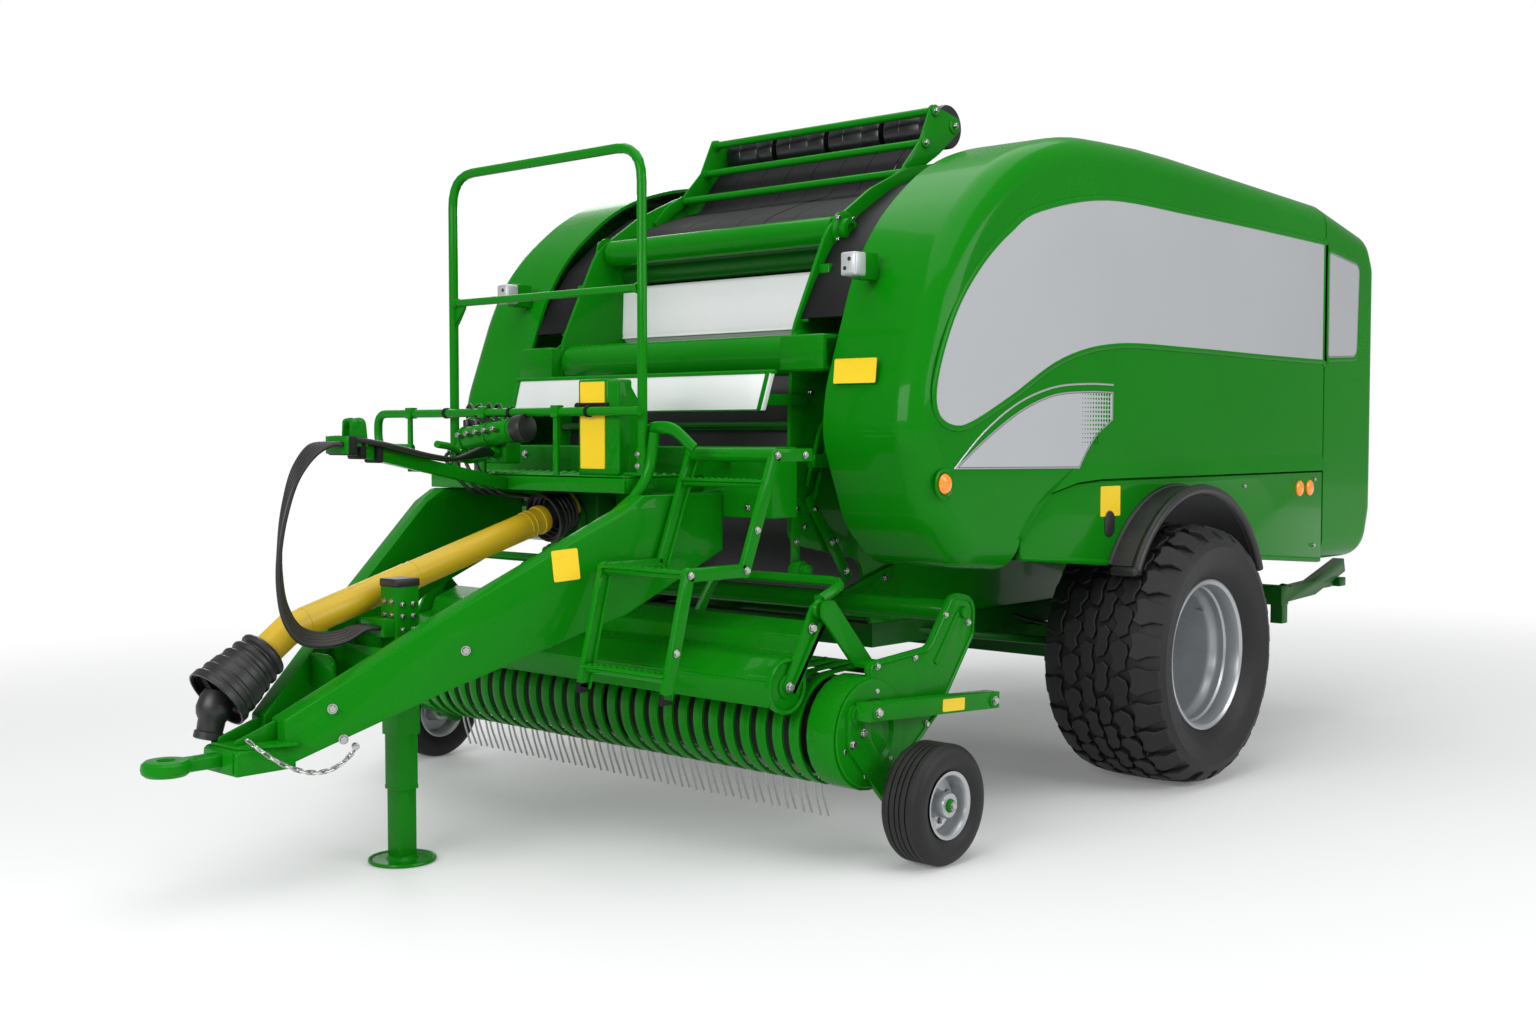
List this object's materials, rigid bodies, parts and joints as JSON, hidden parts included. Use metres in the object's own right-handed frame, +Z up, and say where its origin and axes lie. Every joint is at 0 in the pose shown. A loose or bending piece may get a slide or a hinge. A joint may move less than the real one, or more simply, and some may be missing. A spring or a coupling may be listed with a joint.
{
  "type": "round baler",
  "caption": "Towed round baler with side covers, pickup on gauge wheels, drawbar with jack and drive shaft, front platform and wrap roll magazine.",
  "frame": {"origin": "middle of the length and width, on the ground", "axes": "+Z up, -Y towards the hitch, +X towards the ladder side"},
  "size_m": [3.074, 6.051, 2.8077],
  "materials": {
    "green_paint": "glossy green enamel",
    "silver_paint": "silver-grey enamel",
    "dark_paint": "satin dark",
    "black_plastic": "moulded, satin",
    "black_rubber": "sheet rubber",
    "hose_rubber": "smooth hose cover",
    "black_film": "wound film",
    "tyre_rubber": "new tyre rubber",
    "yellow_plastic": "moulded yellow guard",
    "tine_steel": "spring steel",
    "chrome": "plated",
    "amber_lens": "moulded lens",
    "clear_lens": "moulded lens",
    "yellow_plate": "blank plate"
  },
  "bodies": {
    "root": {"main_axle": "green_paint", "chassis_frame": "green_paint", "side_skirt_left": "green_paint", "side_skirt_right": "green_paint", "wheel_arch_left": "black_plastic", "wheel_arch_right": "black_plastic", "cover_liner_left": "black_rubber", "cover_liner_right": "black_rubber", "chamber_wall_left": "green_paint", "chamber_wall_right": "green_paint", "chamber_shell": "dark_paint", "upper_front_roller": "green_paint", "lower_front_roller": "green_paint", "net_guide_plate": "silver_paint", "front_sign_board": "silver_paint", "roll_magazine_frame": "green_paint", "wrap_rolls": "black_film", "roll_curtain": "black_rubber", "drawbar": "green_paint", "hitch_eye": "green_paint", "jack_sleeve": "green_paint", "front_crossbeam": "green_paint", "platform_deck": "green_paint", "guard_handrail": "green_paint", "control_box": "green_paint", "ladder": "green_paint", "gearbox": "green_paint", "drive_shaft_rear_boot": "black_plastic", "drive_shaft_tube": "yellow_plastic", "drive_shaft_front_boot": "black_plastic", "hose_arm": "green_paint", "hose_1": "hose_rubber", "hose_2": "hose_rubber", "hose_3": "hose_rubber", "hose_4": "hose_rubber", "hose_5": "hose_rubber", "pickup_pivot_beam": "green_paint"},
    "wheel_left": {"main_tyre_left": "tyre_rubber", "main_rim_left": "silver_paint"},
    "wheel_right": {"main_tyre_right": "tyre_rubber", "main_rim_right": "silver_paint"},
    "door_left": {"side_door_left": "green_paint"},
    "door_right": {"side_door_right": "green_paint"},
    "tailgate": {"tailgate_shell": "green_paint", "rear_corner_left": "green_paint", "rear_corner_right": "green_paint"},
    "jack_leg": {"jack_leg": "green_paint"},
    "pickup": {"pickup_side_left": "green_paint", "pickup_side_right": "green_paint", "pickup_bands": "green_paint", "pickup_reel": "tine_steel", "tine_bar": "tine_steel", "gauge_arm_left": "green_paint", "gauge_arm_right": "green_paint"},
    "crop_guard": {"crop_guard": "green_paint"},
    "gauge_wheel_left": {"gauge_tyre_left": "tyre_rubber", "gauge_rim_left": "silver_paint"},
    "gauge_wheel_right": {"gauge_tyre_right": "tyre_rubber", "gauge_rim_right": "silver_paint"}
  },
  "joints": [
    {"name": "wheel_left_spin", "type": "hinge", "parent": "root", "child": "wheel_left", "pos_m": [1.265, 0.8255, 0.5375], "axis": [1, 0, 0], "continuous": true},
    {"name": "wheel_right_spin", "type": "hinge", "parent": "root", "child": "wheel_right", "pos_m": [-1.265, 0.8255, 0.5375], "axis": [1, 0, 0], "continuous": true},
    {"name": "door_left_hinge", "type": "hinge", "parent": "root", "child": "door_left", "pos_m": [0.86, 0.7455, 2.6], "axis": [0, -1, 0], "range_deg": [0, 60]},
    {"name": "door_right_hinge", "type": "hinge", "parent": "root", "child": "door_right", "pos_m": [-0.86, 0.7455, 2.6], "axis": [0, 1, 0], "range_deg": [0, 60]},
    {"name": "tailgate_hinge", "type": "hinge", "parent": "root", "child": "tailgate", "pos_m": [0, 1.2255, 2.535], "axis": [1, 0, 0], "range_deg": [0, 65]},
    {"name": "jack_slide", "type": "slide", "parent": "root", "child": "jack_leg", "axis": [0, 0, 1], "range_m": [0, 0.33]},
    {"name": "pickup_lift", "type": "hinge", "parent": "root", "child": "pickup", "pos_m": [0, -0.5045, 0.8], "axis": [-1, 0, 0], "range_deg": [0, 15]},
    {"name": "crop_guard_lift", "type": "hinge", "parent": "pickup", "child": "crop_guard", "pos_m": [0, -1.1445, 0.852], "axis": [1, 0, 0], "range_deg": [-20, 0]},
    {"name": "gauge_wheel_left_spin", "type": "hinge", "parent": "pickup", "child": "gauge_wheel_left", "pos_m": [1.397, -0.9445, 0.2055], "axis": [1, 0, 0], "continuous": true},
    {"name": "gauge_wheel_right_spin", "type": "hinge", "parent": "pickup", "child": "gauge_wheel_right", "pos_m": [-1.397, -0.9445, 0.2055], "axis": [1, 0, 0], "continuous": true}
  ]
}
